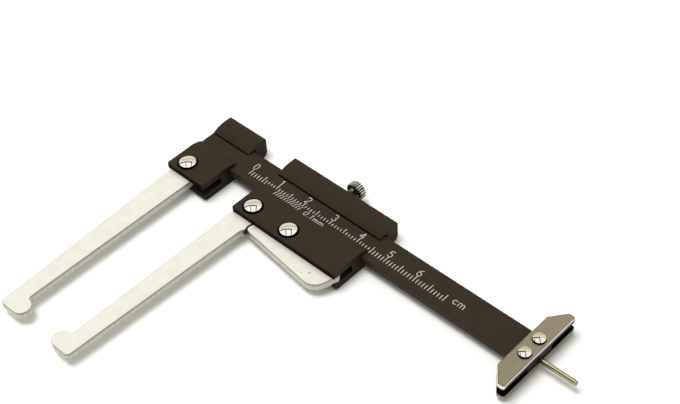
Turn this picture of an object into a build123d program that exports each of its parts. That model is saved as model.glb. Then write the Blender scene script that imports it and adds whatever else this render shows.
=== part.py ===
from build123d import *
import math
import os

os.makedirs("parts", exist_ok=True)

# Vernier brake disc caliper with a tread depth base, in millimetres.
# X runs along the beam, Y from the leg slots to the lock screw, Z up from the resting face.
# X = 0 is the fixed leg's measuring face and Y = 0 the middle of the beam.

# Pose and travel
READING = 11.0              # distance between the measuring faces as modelled
BRIDGE_FRONT = 107.05       # measuring face of the tread depth base

# Beam
BEAM_WIDTH = 9.6
BEAM_THICK = 2.5
BEAM_BEVEL = 0.15
BEAM_RECESS = 0.2           # the beam's end stays behind the base's measuring face
GROOVE_WIDTH = 1.6
GROOVE_DEPTH = 1.5
GROOVE_SPARE = 0.3          # groove left over beyond the rod's foot when the legs are closed

# Profile shared by the head and the slider
FLOOR_THICK = 2.5
LIP_THICK = 1.3
LIP_EDGE = 0.12
FRONT_LIP_COVER = 2.9       # how far each lip reaches over the beam
RAIL_LIP_COVER = 1.95
LIP_SLOPE = 3.9             # width of each lip's rounded shoulder
GIB_GAP = 0.8
RAIL_THICK = 4.1
WEB_THICK = 3.4
SLOT_DEPTH = 6.75
SLOT_FLOOR = 2.2
BOTTOM_ROUND = 1.8
TOP_ROUND = 0.35
CORNER_ROUND = 0.4          # front left corner, seen from above
HEAD_LENGTH = 14.25
HEAD_RIGHT = 2.55
SLIDER_LENGTH = 37.8
SLIDER_SETBACK = 3.4        # slider's left end to the moving leg's measuring face
SLIDE_CLEAR = 0.04
FRONT_CLEAR = 0.05

# Legs
LEG_THICK = 2.4
LEG_REACH = 61.4            # from the bodies' front down to the legs' ends
LEG_BEVEL = 0.12
KNOB_RADIUS = 2.7
KNOB_NOTCH = 0.9
FOOT_ROUND = 1.25
TIP_INNER = 3.3             # measuring face to the leg's near and far edge at its end
TIP_OUTER = 8.1
FIXED_INNER = 2.7           # the same two distances at the root
FIXED_OUTER = 10.6
FIXED_SHOULDER = 2.35
MOVING_INNER = 3.35
MOVING_OUTER = 10.35
MOVING_SHOULDER = 3.5
SPUR_OUTER = 10.9
SPUR_CHAMFER = 0.55

# Thumb rest beside the moving leg, its corners from the slider's ends and front
THUMB_TOP_LEFT = 9.3
THUMB_NOSE_LEFT = 7.4
THUMB_NOSE_DROP = 2.33
THUMB_HEEL_INSET = 2.35
THUMB_HEEL_DROP = 5.78
THUMB_BACK_RISE = 2.0       # back corner, this far inside the slot at the slider's right end
THUMB_ROOT_INSET = 4.0
NOSE_ROUND = 1.25
HEEL_ROUND = 4.2
BACK_ROUND = 1.1
THUMB_GAP = 0.4

# Domed rivets through legs and thumb rest
RIVET_HEAD = 5.3
RIVET_DOME = 0.8
RIVET_SHANK = 3.0
RIVET_LINE = 3.8            # from the bodies' front
FIXED_RIVET = 4.4           # from the left end of the body that holds each
MOVING_RIVET = 4.35
THUMB_RIVET = 17.75
RIM = 0.25                  # upright edge of every rivet's head
TAIL_HEIGHT = 0.7
TAIL_FLARE = 0.6
TAIL_RECESS = 0.05
RIVET_CLEAR = 0.03

# Tread depth base
PLATE_THICK = 1.5
PLATE_DEPTH = 5.7
PLATE_SPAN = 28.5
PLATE_BACK_SPAN = 19.5
PLATE_END = 2.15            # flat length at each end, before the front corner
PLATE_CORNER = 0.85
PLATE_EDGE = 0.55
PLATE_RIVET_HEAD = 3.6
PLATE_RIVET_DOME = 0.7
PLATE_RIVET_SHANK = 2.5
PLATE_RIVET_SETBACK = 2.7
PLATE_RIVET_PITCH = 5.7

# Depth rod
ROD_DIAMETER = 1.4
ROD_LIFT = 0.04             # above the beam's underside
ROD_BEND = 1.0
ROD_FOOT = 6.0              # from the slider's left end
ROD_FOOT_LIFT = 0.3
ROD_TIP_BEVEL = 0.2
ROD_CLEAR = 0.03

# Gib strip and its two set screws
GIB_THICK = 0.72
GIB_HEIGHT = 2.3
GIB_INSET = 2.25
GIB_SCREW_DIAMETER = 2.0
GIB_SCREW_LENGTH = 3.3
GIB_SCREW_INSET = 8.0

# Lock screw
LOCK_SPOT = 19.85           # from the slider's left end
LOCK_SHANK = 3.0
LOCK_NECK = 2.15            # bare length between rail and head
LOCK_HEAD = 5.7
LOCK_HEAD_LENGTH = 2.2
LOCK_COLLAR = 4.2
LOCK_COLLAR_LENGTH = 0.35
LOCK_BEVEL = 0.3
LOCK_DOG = 1.8
LOCK_DOG_LENGTH = 0.5
DIMPLE_DEPTH = 0.3
DIMPLE_CLEAR = 0.05
KNURL_COUNT = 26
KNURL_DEPTH = 0.25
KNURL_WIDTH = 0.42          # of one groove at the rim

# Countersunk screws that hold the head on the beam
FIX_SCREW_DIAMETER = 2.5
FIX_SCREW_HEAD = 4.7
FIX_SCREW_SINK = 1.35
FIX_SCREW_BITE = 1.8
FIX_SCREW_LEFT = 3.2        # outer screw from the head's left end
FIX_SCREW_PITCH = 5.1       # from the outer to the inner screw, along the beam
FIX_SCREW_STAGGER = 2.2     # each to its own side of the beam's middle line
SCREW_RECESS = 0.1
SCREW_CLEAR = 0.03
DRIVE_WIDTH = 0.5
DRIVE_DEPTH = 0.5

OVERCUT = 1.0

# Heights
BEAM_BOTTOM = FLOOR_THICK
BEAM_TOP = BEAM_BOTTOM + BEAM_THICK
BEAM_MID = BEAM_BOTTOM + BEAM_THICK / 2
BODY_TOP = BEAM_TOP + LIP_THICK
SLOT_TOP = SLOT_FLOOR + LEG_THICK
ROD_RADIUS = ROD_DIAMETER / 2
ROD_AXIS = BEAM_BOTTOM + ROD_LIFT + ROD_RADIUS

# Places across the beam
BEAM_HALF = BEAM_WIDTH / 2
WEB_FACE = -(BEAM_HALF + FRONT_CLEAR + WEB_THICK)
BODY_FRONT = WEB_FACE - SLOT_DEPTH
RAIL_FACE = BEAM_HALF + GIB_GAP
BODY_BACK = RAIL_FACE + RAIL_THICK
RIVET_ROW = BODY_FRONT + RIVET_LINE
LEG_END = BODY_FRONT - LEG_REACH
KNOB_ROW = LEG_END + KNOB_RADIUS
GIB_BACK = BEAM_HALF + (GIB_GAP + GIB_THICK) / 2
LOCK_TIP = GIB_BACK - DIMPLE_DEPTH + DIMPLE_CLEAR

# Places along the beam
HEAD_LEFT = HEAD_RIGHT - HEAD_LENGTH
SLIDER_LEFT = READING + SLIDER_SETBACK
SLIDER_RIGHT = SLIDER_LEFT + SLIDER_LENGTH
BEAM_RIGHT = BRIDGE_FRONT - BEAM_RECESS
ROD_FOOT_PLACE = SLIDER_LEFT + ROD_FOOT
ROD_TIP = BRIDGE_FRONT + READING
LOCK_PLACE = SLIDER_LEFT + LOCK_SPOT


def corners(outline, places):
    """The outline's corner nearest to each place."""
    return [outline.vertices().sort_by_distance(place)[0] for place in places]


def standing(outline, bottom, top):
    """Plate from a plan outline between two heights."""
    return extrude(Pos(0, 0, bottom) * outline, top - bottom)


def slab(x_range, y_range, z_range):
    """Plain box between pairs of limits."""
    size = [high - low for low, high in (x_range, y_range, z_range)]
    middle = [(high + low) / 2 for low, high in (x_range, y_range, z_range)]
    return Pos(*middle) * Box(*size)


def turned(outline):
    """Solid of revolution about Z from an outline of radii and heights."""
    return revolve(Plane.XZ * outline, Axis.Z)


# Lipped profile of the two bodies


def body_section(front_clear, slide_clear):
    """Section with the beam channel, its two lips and the open slot for a leg."""
    front_wall = -(BEAM_HALF + front_clear)
    floor = BEAM_BOTTOM - slide_clear
    lip = BEAM_TOP + slide_clear
    front_tip = -BEAM_HALF + FRONT_LIP_COVER
    rail_tip = BEAM_HALF - RAIL_LIP_COVER
    front_flat = front_tip - LIP_SLOPE
    rail_flat = rail_tip + LIP_SLOPE
    edge = Polyline((BODY_FRONT, 0), (BODY_BACK, 0), (BODY_BACK, BODY_TOP), (rail_flat, BODY_TOP))
    edge += TangentArc((rail_flat, BODY_TOP), (rail_tip, lip + LIP_EDGE), tangent=(-1, 0))
    edge += Polyline(
        (rail_tip, lip + LIP_EDGE),
        (rail_tip, lip),
        (RAIL_FACE, lip),
        (RAIL_FACE, floor),
        (front_wall, floor),
        (front_wall, lip),
        (front_tip, lip),
        (front_tip, lip + LIP_EDGE),
    )
    edge += TangentArc((front_flat, BODY_TOP), (front_tip, lip + LIP_EDGE), tangent=(1, 0))
    edge += Polyline(
        (front_flat, BODY_TOP),
        (BODY_FRONT, BODY_TOP),
        (BODY_FRONT, SLOT_TOP),
        (WEB_FACE, SLOT_TOP),
        (WEB_FACE, SLOT_FLOOR),
        (BODY_FRONT, SLOT_FLOOR),
        (BODY_FRONT, 0),
    )
    section = make_face(edge)
    section = fillet(corners(section, [(BODY_FRONT, 0), (BODY_BACK, 0)]), BOTTOM_ROUND)
    return fillet(corners(section, [(BODY_FRONT, BODY_TOP), (BODY_BACK, BODY_TOP)]), TOP_ROUND)


def body_blank(left, right, front_clear, slide_clear):
    """Length of the profile with its front left corner rounded in plan."""
    bar = Pos(left, 0, 0) * extrude(Plane.YZ * body_section(front_clear, slide_clear), right - left)
    plan = make_face(
        Polyline((left, BODY_FRONT), (right, BODY_FRONT), (right, BODY_BACK), (left, BODY_BACK), close=True)
    )
    plan = fillet(corners(plan, [(left, BODY_FRONT)]), CORNER_ROUND)
    return bar & standing(plan, -OVERCUT, BODY_TOP + OVERCUT)


# Domed rivets


def rivet(head, dome, shank, grip):
    """Rivet with its head seated at height 0 and a flush flared tail below."""
    head_radius = head / 2
    radius = shank / 2
    tail = -(grip - TAIL_RECESS)
    edge = TangentArc((0, dome), (head_radius, RIM), tangent=(1, 0))
    edge += Polyline(
        (head_radius, RIM),
        (head_radius, 0),
        (radius, 0),
        (radius, tail + TAIL_HEIGHT),
        (radius + TAIL_FLARE, tail),
        (0, tail),
        (0, dome),
    )
    return turned(make_face(edge))


def rivet_bore(shank, grip):
    """Hole for the rivet above, with room for the flared tail."""
    radius = shank / 2 + RIVET_CLEAR
    flare_top = -grip + TAIL_RECESS + TAIL_HEIGHT + RIVET_CLEAR
    mouth = radius + TAIL_FLARE + RIVET_CLEAR
    edge = Polyline(
        (0, OVERCUT),
        (radius, OVERCUT),
        (radius, flare_top),
        (mouth, flare_top - TAIL_HEIGHT - RIVET_CLEAR),
        (mouth, -grip - OVERCUT),
        (0, -grip - OVERCUT),
        close=True,
    )
    return turned(make_face(edge))


def leg_rivet(place):
    """Rivet through both jaws of a body and the plate between them."""
    return Pos(place, RIVET_ROW, BODY_TOP) * rivet(RIVET_HEAD, RIVET_DOME, RIVET_SHANK, BODY_TOP)


def leg_rivet_bore(place):
    """Hole for a leg rivet."""
    return Pos(place, RIVET_ROW, BODY_TOP) * rivet_bore(RIVET_SHANK, BODY_TOP)


# Countersunk and set screws


def fix_screw():
    """Slotted countersunk screw, its head's face at height 0 and its thread upward."""
    radius = FIX_SCREW_DIAMETER / 2
    top = FLOOR_THICK - SCREW_RECESS + FIX_SCREW_BITE
    edge = Polyline(
        (0, 0), (FIX_SCREW_HEAD / 2, 0), (radius, FIX_SCREW_SINK), (radius, top), (0, top), close=True
    )
    drive = slab(
        (-FIX_SCREW_HEAD, FIX_SCREW_HEAD), (-DRIVE_WIDTH / 2, DRIVE_WIDTH / 2), (-OVERCUT, DRIVE_DEPTH)
    )
    return turned(make_face(edge)) - drive


def fix_screw_bore():
    """Hole for the screw above, blind in the beam."""
    radius = FIX_SCREW_DIAMETER / 2 + SCREW_CLEAR
    mouth = FIX_SCREW_HEAD / 2 + SCREW_CLEAR
    top = FLOOR_THICK - SCREW_RECESS + FIX_SCREW_BITE + SCREW_CLEAR
    edge = Polyline(
        (0, -OVERCUT),
        (mouth, -OVERCUT),
        (mouth, 0),
        (radius, FIX_SCREW_SINK),
        (radius, top),
        (0, top),
        close=True,
    )
    return turned(make_face(edge))


def fix_screw_places():
    """The outer and the inner screw's places in the head's underside."""
    return [
        Pos(HEAD_LEFT + FIX_SCREW_LEFT, FIX_SCREW_STAGGER, SCREW_RECESS),
        Pos(HEAD_LEFT + FIX_SCREW_LEFT + FIX_SCREW_PITCH, -FIX_SCREW_STAGGER, SCREW_RECESS),
    ]


def gib_screw():
    """Slotted set screw along Z, its tip at height 0."""
    body = Cylinder(GIB_SCREW_DIAMETER / 2, GIB_SCREW_LENGTH, align=(Align.CENTER, Align.CENTER, Align.MIN))
    drive = slab(
        (-GIB_SCREW_DIAMETER, GIB_SCREW_DIAMETER),
        (-DRIVE_WIDTH / 2, DRIVE_WIDTH / 2),
        (GIB_SCREW_LENGTH - DRIVE_DEPTH, GIB_SCREW_LENGTH + OVERCUT),
    )
    return body - drive


def gib_screw_places():
    """The two set screws' places, tips on the gib strip's back."""
    toward_gib = Rot(-90, 0, 0)
    return [
        Pos(x, GIB_BACK, BEAM_MID) * toward_gib
        for x in (SLIDER_LEFT + GIB_SCREW_INSET, SLIDER_RIGHT - GIB_SCREW_INSET)
    ]


# Outlines of legs and thumb rest


def leg_outline(root_inner, root_outer, shoulder):
    """Leg with its measuring knob touching u = 0, u pointing away from the opening."""
    shoulder_row = BODY_FRONT - shoulder
    shank = make_face(
        Polyline(
            (root_inner, WEB_FACE),
            (root_inner, shoulder_row),
            (TIP_INNER, KNOB_ROW),
            (KNOB_RADIUS, KNOB_ROW),
            (KNOB_RADIUS, LEG_END),
            (TIP_OUTER, LEG_END),
            (root_outer, shoulder_row),
            (root_outer, WEB_FACE),
            close=True,
        )
    )
    outline = shank + Pos(KNOB_RADIUS, KNOB_ROW) * Circle(KNOB_RADIUS)
    rise = math.sqrt(KNOB_RADIUS**2 - (TIP_INNER - KNOB_RADIUS) ** 2)
    outline = fillet(corners(outline, [(TIP_INNER, KNOB_ROW + rise)]), KNOB_NOTCH)
    return fillet(corners(outline, [(TIP_OUTER, LEG_END)]), FOOT_ROUND)


def thumb_outline():
    """Wedge with a round nose at the leg, a round heel and a small round back corner."""
    nose = (SLIDER_LEFT + THUMB_NOSE_LEFT, BODY_FRONT - THUMB_NOSE_DROP)
    heel = (SLIDER_RIGHT - THUMB_HEEL_INSET, BODY_FRONT - THUMB_HEEL_DROP)
    back = (SLIDER_RIGHT, BODY_FRONT + THUMB_BACK_RISE)
    root_left = (SLIDER_LEFT + THUMB_TOP_LEFT, WEB_FACE)
    root_right = (SLIDER_RIGHT - THUMB_ROOT_INSET, WEB_FACE)
    wedge = make_face(Polyline(root_left, nose, heel, back, root_right, close=True))
    wedge = fillet(corners(wedge, [nose]), NOSE_ROUND)
    wedge = fillet(corners(wedge, [heel]), HEEL_ROUND)
    return fillet(corners(wedge, [back]), BACK_ROUND)


def moving_outline():
    """Moving leg with the spur and the scallop that clear the thumb rest."""
    root_row = BODY_FRONT - MOVING_SHOULDER
    edge = READING + MOVING_OUTER
    spur = READING + SPUR_OUTER
    root = make_face(
        Polyline(
            (READING + MOVING_INNER, WEB_FACE),
            (READING + MOVING_INNER, root_row),
            (edge, root_row),
            (spur, root_row + SPUR_CHAMFER),
            (spur, WEB_FACE),
            close=True,
        )
    )
    leg = Pos(READING, 0) * leg_outline(MOVING_INNER, MOVING_OUTER, MOVING_SHOULDER)
    return leg + root - offset(thumb_outline(), THUMB_GAP)


def plate_solid(outline):
    """Leg or thumb rest plate with its sharp edges broken."""
    plate = standing(outline, SLOT_FLOOR, SLOT_TOP)
    rims = plate.faces().sort_by(Axis.Z)
    return chamfer(rims[0].edges() + rims[-1].edges(), LEG_BEVEL)


# Depth rod


def rod_along(radius, bottom, tip):
    """Rod that rises at its foot, bends once and runs along the beam to its tip."""
    path = Polyline((ROD_FOOT_PLACE, 0, bottom), (ROD_FOOT_PLACE, 0, ROD_AXIS - ROD_BEND))
    path += TangentArc(
        (ROD_FOOT_PLACE, 0, ROD_AXIS - ROD_BEND), (ROD_FOOT_PLACE + ROD_BEND, 0, ROD_AXIS), tangent=(0, 0, 1)
    )
    path += Line((ROD_FOOT_PLACE + ROD_BEND, 0, ROD_AXIS), (tip, 0, ROD_AXIS))
    return sweep(Pos(ROD_FOOT_PLACE, 0, bottom) * Circle(radius), path=path)


# Pieces that stay with the beam


def beam():
    """Flat scale bar with a groove for the depth rod and two blind screw holes."""
    bar = slab((HEAD_LEFT, BEAM_RIGHT), (-BEAM_HALF, BEAM_HALF), (BEAM_BOTTOM, BEAM_TOP))
    bar = chamfer(bar.edges().filter_by(Axis.X), BEAM_BEVEL)
    groove = slab(
        (SLIDER_SETBACK + ROD_FOOT - ROD_RADIUS - GROOVE_SPARE, BEAM_RIGHT + OVERCUT),
        (-GROOVE_WIDTH / 2, GROOVE_WIDTH / 2),
        (BEAM_BOTTOM - OVERCUT, BEAM_BOTTOM + GROOVE_DEPTH),
    )
    bar -= groove
    for place in fix_screw_places():
        bar -= place * fix_screw_bore()
    for place in plate_rivet_places():
        bar -= place * rivet_bore(PLATE_RIVET_SHANK, plate_stack())
    return bar


def head_body():
    """Fixed body, a short length of the profile."""
    body = body_blank(HEAD_LEFT, HEAD_RIGHT, 0, 0)
    for place in fix_screw_places():
        body -= place * fix_screw_bore()
    return body - leg_rivet_bore(HEAD_LEFT + FIXED_RIVET)


def fixed_leg():
    """Left leg, its measuring face on X = 0."""
    outline = mirror(leg_outline(FIXED_INNER, FIXED_OUTER, FIXED_SHOULDER), Plane.YZ)
    return plate_solid(outline) - leg_rivet_bore(HEAD_LEFT + FIXED_RIVET)


def plate_rivet_places():
    """Heads of the two rivets that clamp the base plates on the beam."""
    top = BEAM_TOP + PLATE_THICK
    return [
        Pos(BRIDGE_FRONT - PLATE_RIVET_SETBACK, side * PLATE_RIVET_PITCH / 2, top) for side in (1, -1)
    ]


def plate_stack():
    """Height of the two base plates with the beam between them."""
    return BEAM_THICK + 2 * PLATE_THICK


def base_plate(bottom, outer):
    """Cross plate with cut back corners; its outer face has rounded front edges."""
    back = BRIDGE_FRONT - PLATE_DEPTH
    shoulder = BRIDGE_FRONT - PLATE_END
    half = PLATE_SPAN / 2
    half_back = PLATE_BACK_SPAN / 2
    outline = make_face(
        Polyline(
            (back, -half_back),
            (shoulder, -half),
            (BRIDGE_FRONT, -half),
            (BRIDGE_FRONT, half),
            (shoulder, half),
            (back, half_back),
            close=True,
        )
    )
    outline = fillet(corners(outline, [(BRIDGE_FRONT, -half), (BRIDGE_FRONT, half)]), PLATE_CORNER)
    plate = standing(outline, bottom, bottom + PLATE_THICK)
    plate = fillet(plate.faces().sort_by(Axis.Z)[outer].edges(), PLATE_EDGE)
    for place in plate_rivet_places():
        plate -= place * rivet_bore(PLATE_RIVET_SHANK, plate_stack())
    return plate


def bridge_plate_top():
    """Base plate on the beam's top."""
    return base_plate(BEAM_TOP, -1)


def bridge_plate_bottom():
    """Base plate under the beam."""
    return base_plate(BEAM_BOTTOM - PLATE_THICK, 0)


# Pieces that move with the slider


def slider_body():
    """Sliding body with the set screws' and the lock screw's holes through its rail."""
    body = body_blank(SLIDER_LEFT, SLIDER_RIGHT, FRONT_CLEAR, SLIDE_CLEAR)
    body -= leg_rivet_bore(SLIDER_LEFT + MOVING_RIVET)
    body -= leg_rivet_bore(SLIDER_LEFT + THUMB_RIVET)
    through_rail = Rot(-90, 0, 0)
    lock_hole = Cylinder(LOCK_SHANK / 2 + SCREW_CLEAR, RAIL_THICK + OVERCUT)
    body -= Pos(LOCK_PLACE, RAIL_FACE + RAIL_THICK / 2, BEAM_MID) * through_rail * lock_hole
    for place in gib_screw_places():
        body -= place * Cylinder(GIB_SCREW_DIAMETER / 2 + SCREW_CLEAR, 2 * RAIL_THICK + OVERCUT)
    foot_hole = rod_along(ROD_RADIUS + ROD_CLEAR, -OVERCUT, SLIDER_RIGHT)
    return body - foot_hole


def moving_leg():
    """Right leg, its measuring face at the reading."""
    return plate_solid(moving_outline()) - leg_rivet_bore(SLIDER_LEFT + MOVING_RIVET)


def thumb_rest():
    """Wedge plate that the thumb pushes."""
    return plate_solid(thumb_outline()) - leg_rivet_bore(SLIDER_LEFT + THUMB_RIVET)


def gib_strip():
    """Strip between the beam's back edge and the rail, dimpled for the lock screw's tip."""
    strip = slab(
        (SLIDER_LEFT + GIB_INSET, SLIDER_RIGHT - GIB_INSET),
        (GIB_BACK - GIB_THICK, GIB_BACK),
        (BEAM_MID - GIB_HEIGHT / 2, BEAM_MID + GIB_HEIGHT / 2),
    )
    dimple = Cylinder(LOCK_DOG / 2 + DIMPLE_CLEAR, 2 * DIMPLE_DEPTH)
    return strip - Pos(LOCK_PLACE, GIB_BACK, BEAM_MID) * Rot(-90, 0, 0) * dimple


def depth_rod():
    """Round rod, its foot in the slider's floor and its tip out by the reading."""
    rod = rod_along(ROD_RADIUS, ROD_FOOT_LIFT, ROD_TIP)
    return chamfer(rod.edges().sort_by(Axis.X)[-1], ROD_TIP_BEVEL)


# Lock screw


def lock_screw():
    """Thumb screw with a straight knurl, turned along Z from its tip and laid along Y."""
    dog = LOCK_DOG / 2
    shank = LOCK_SHANK / 2
    head = LOCK_HEAD / 2
    collar = LOCK_COLLAR / 2
    under_head = BODY_BACK + LOCK_NECK - LOCK_TIP
    top = under_head + LOCK_HEAD_LENGTH
    edge = Polyline(
        (0, 0),
        (dog, 0),
        (dog, LOCK_DOG_LENGTH),
        (shank, LOCK_DOG_LENGTH + LOCK_BEVEL),
        (shank, under_head - LOCK_COLLAR_LENGTH),
        (collar, under_head - LOCK_COLLAR_LENGTH),
        (collar, under_head),
        (head - LOCK_BEVEL, under_head),
        (head, under_head + LOCK_BEVEL),
        (head, top - LOCK_BEVEL),
        (head - LOCK_BEVEL, top),
        (0, top),
        close=True,
    )
    screw = turned(make_face(edge))
    spread = KNURL_WIDTH / 2 * (1 + OVERCUT / KNURL_DEPTH)
    groove = make_face(
        Polyline((head - KNURL_DEPTH, 0), (head + OVERCUT, -spread), (head + OVERCUT, spread), close=True)
    )
    cutter = standing(groove, under_head - LOCK_BEVEL, top + OVERCUT)
    screw -= [Rot(0, 0, turn * 360 / KNURL_COUNT) * cutter for turn in range(KNURL_COUNT)]
    return Pos(LOCK_PLACE, LOCK_TIP, BEAM_MID) * Rot(-90, 0, 0) * screw


fix_outer, fix_inner = (place * fix_screw() for place in fix_screw_places())
rivet_rear, rivet_front = (
    place * rivet(PLATE_RIVET_HEAD, PLATE_RIVET_DOME, PLATE_RIVET_SHANK, plate_stack())
    for place in plate_rivet_places()
)
gib_left, gib_right = (place * gib_screw() for place in gib_screw_places())

pieces = {
    "beam": beam(),
    "head_body": head_body(),
    "head_fixing_screw_outer": fix_outer,
    "head_fixing_screw_inner": fix_inner,
    "fixed_leg": fixed_leg(),
    "fixed_leg_rivet": leg_rivet(HEAD_LEFT + FIXED_RIVET),
    "bridge_plate_top": bridge_plate_top(),
    "bridge_plate_bottom": bridge_plate_bottom(),
    "bridge_rivet_rear": rivet_rear,
    "bridge_rivet_front": rivet_front,
    "slider_body": slider_body(),
    "sliding_leg": moving_leg(),
    "sliding_leg_rivet": leg_rivet(SLIDER_LEFT + MOVING_RIVET),
    "thumb_rest": thumb_rest(),
    "thumb_rest_rivet": leg_rivet(SLIDER_LEFT + THUMB_RIVET),
    "gib_strip": gib_strip(),
    "gib_screw_left": gib_left,
    "gib_screw_right": gib_right,
    "depth_rod": depth_rod(),
    "lock_screw": lock_screw(),
}

for node, shape in pieces.items():
    export_step(shape, f"parts/{node}.step")
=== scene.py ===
"""Finishes, scale marks, turned screw and studio for a vernier disc and tread caliper."""

import math

import bmesh
import bpy
from bpy.props import FloatProperty, FloatVectorProperty, IntProperty, PointerProperty
from mathutils import Matrix, Vector


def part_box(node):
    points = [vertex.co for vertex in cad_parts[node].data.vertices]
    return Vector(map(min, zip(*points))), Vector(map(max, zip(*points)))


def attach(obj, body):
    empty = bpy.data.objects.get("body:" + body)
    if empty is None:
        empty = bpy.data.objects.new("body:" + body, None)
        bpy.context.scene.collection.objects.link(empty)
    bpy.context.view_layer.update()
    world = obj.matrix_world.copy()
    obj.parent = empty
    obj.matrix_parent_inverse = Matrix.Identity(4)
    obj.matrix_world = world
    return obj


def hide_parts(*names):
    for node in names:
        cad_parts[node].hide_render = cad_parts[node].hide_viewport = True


bl_info = {
    "name": "Disc and Tread Caliper",
    "version": (1, 0, 0),
    "blender": (4, 5, 0),
    "location": "View3D > Sidebar > Caliper",
    "description": "Dresses a vernier caliper with its finishes and scale marks and lights it",
    "category": "Object",
}

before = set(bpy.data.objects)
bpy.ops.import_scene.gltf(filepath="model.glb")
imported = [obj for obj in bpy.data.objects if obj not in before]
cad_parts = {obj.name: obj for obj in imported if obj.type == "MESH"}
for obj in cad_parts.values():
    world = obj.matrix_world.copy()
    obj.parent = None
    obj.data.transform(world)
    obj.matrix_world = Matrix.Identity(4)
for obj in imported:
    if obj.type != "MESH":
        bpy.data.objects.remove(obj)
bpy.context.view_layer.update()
MM = 0.001
X, Y, Z = range(3)

# Edges of new pieces that bend by more than this stay sharp
SHARP = math.radians(35)
# Points of a skin that lie closer together than this are one point, in metres
MERGED = 1e-7

# Places and radii of dark specks on the thumb rest and of a pit in the fixed leg's foot, in millimetres
SPECKS = ((45.67, -17.35, 4.6, 0.3), (43.99, -18.71, 4.6, 0.17), (0.2, -73.99, 3.4, 0.32))

# Places and radii of the painted shade in the seam between sliding leg and thumb rest, in millimetres
SEAM_SHADE = ((21.6, -15.8, 3.6, 2.0), (22.4, -17.7, 3.6, 1.5))


def linear(hex_code):
    """Linear colour of an sRGB hex code."""
    channels = [int(hex_code[i : i + 2], 16) / 255 for i in (1, 3, 5)]
    return tuple(c / 12.92 if c <= 0.04045 else ((c + 0.055) / 1.055) ** 2.4 for c in channels)


def length(name, description, default, precision=5):
    """A length property in metres, given in millimetres."""
    return FloatProperty(
        name=name, description=description, default=default * MM, min=0, precision=precision, subtype="DISTANCE"
    )


def tint(name, description, hex_code):
    """A colour property given as an sRGB hex code."""
    return FloatVectorProperty(
        name=name, description=description, default=linear(hex_code), min=0, max=1, size=3, subtype="COLOR"
    )


class MarkSettings(bpy.types.PropertyGroup):
    """Sizes of the filled marks on the beam and on the slider's lip."""

    zero_place: length("Zero mark", "Distance of the scale's zero from the fixed measuring face", 7.85)
    base_row: FloatProperty(
        name="Tick base", description="Row on which the beam's ticks stand", default=-2.35 * MM, subtype="DISTANCE"
    )
    short_tick: length("Millimetre tick", "Height of a millimetre tick", 1.4)
    long_tick: length("Half centimetre tick", "Height of a five and ten millimetre tick", 2.3)
    line_width: length("Line width", "Width of an engraved line", 0.22)
    digit_height: length("Digit height", "Height of the centimetre digits", 2.2)
    digit_foot: FloatProperty(
        name="Digit foot", description="Row on which the digits stand", default=-0.15 * MM, subtype="DISTANCE"
    )
    vernier_place: length("Vernier zero", "Distance of the vernier's zero from the slider's left end", 5.0)
    vernier_step: length("Vernier step", "Distance between two vernier ticks", 0.915)
    vernier_length: length("Vernier tick", "How far a vernier tick reaches down the lip", 2.13)
    fill: tint("Fill", "Colour of the filled marks", "#D9D2CB")


class FinishSettings(bpy.types.PropertyGroup):
    """Colours of the caliper's finishes."""

    coat: tint("Black coat", "Anodised bodies and beam", "#302719")
    aluminium: tint("Aluminium", "Ground faces of legs and thumb rest", "#ECEBE2")
    milled: tint("Cut edges", "Cut sides of legs and thumb rest", "#D2CFC2")
    # Real specks, and painted shade in the leg seam, along the plates' edges and on the rod
    soil: tint("Soil", "Specks on the legs, grime along edges and rims", "#39342A")
    # A near black for painted shade and painted shadow: along the lips, round rivet heads, inside the plates and in
    # the knurl; its width along the lips follows
    dust: tint("Oily dust", "Line of oil and dust along the lips", "#060504")
    dust_width: length("Dust line", "Width of the line of oil and dust", 0.42)
    steel: tint("Polished steel", "Rivets of legs and thumb rest", "#DCD9D0")
    warm_steel: tint("Warm steel", "Rivets of the tread depth base", "#D2CDC0")
    screw: tint("Nickelled steel", "Lock screw", "#D0CCB8")
    nickel: tint("Nickel plate", "Flats of the tread depth base", "#9B917A")
    # Painted highlight on the upper plate's cut sides, painted shade on the lower plate's
    nickel_edge: tint("Nickel edge", "Upper plate's cut sides", "#E2DFD4")
    nickel_brown: tint("Browned edge", "Lower plate's cut sides", "#91866A")
    rod: tint("Drawn steel", "Depth rod", "#C3BA97")
    # The rod's back and underside are painted darker as shade
    rod_scale: tint("Rod's scale", "Darker back and underside of the depth rod", "#4C4533")
    brass: tint("Rolled brass", "Gib strip", "#BFA15C")
    blackened: tint("Blackened steel", "Hidden screws", "#3B3934")


class RivetSettings(bpy.types.PropertyGroup):
    """Sizes of the domed rivets."""

    leg_head: length("Leg rivet head", "Diameter of the heads over legs and thumb rest", 5.3)
    leg_dome: length("Leg rivet dome", "Height of those heads", 0.8)
    leg_shank: length("Leg rivet shank", "Diameter of their shanks", 3.0)
    plate_head: length("Base rivet head", "Diameter of the heads on the tread depth base", 3.6)
    plate_dome: length("Base rivet dome", "Height of those heads", 0.7)
    plate_shank: length("Base rivet shank", "Diameter of their shanks", 2.5)
    leg_rim: length("Leg rivet rim", "Upright edge of a leg rivet's head", 0.25)
    plate_rim: length("Base rivet rim", "Upright edge of a base rivet's head", 0.42)
    # The collar and the ring round each head take a matt near black: painted shade
    leg_collar: length("Leg rivet collar", "Width of the grimy collar round a leg rivet's dome", 0.27)
    plate_collar: length("Base rivet collar", "Width of that collar on a base rivet", 0.12)
    leg_ring: length("Leg rivet ring", "Width of the ring of grime round a leg rivet's head", 0.32)
    plate_ring: length("Base rivet ring", "Width of that ring round a base rivet's head", 0.06)
    ring_rise: length("Ring's rise", "Height of that ring over the seat", 0.015)
    tail_height: length("Tail", "Height of the flared tail", 0.7)
    tail_flare: length("Tail flare", "How far the tail flares beyond the shank", 0.6)


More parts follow.
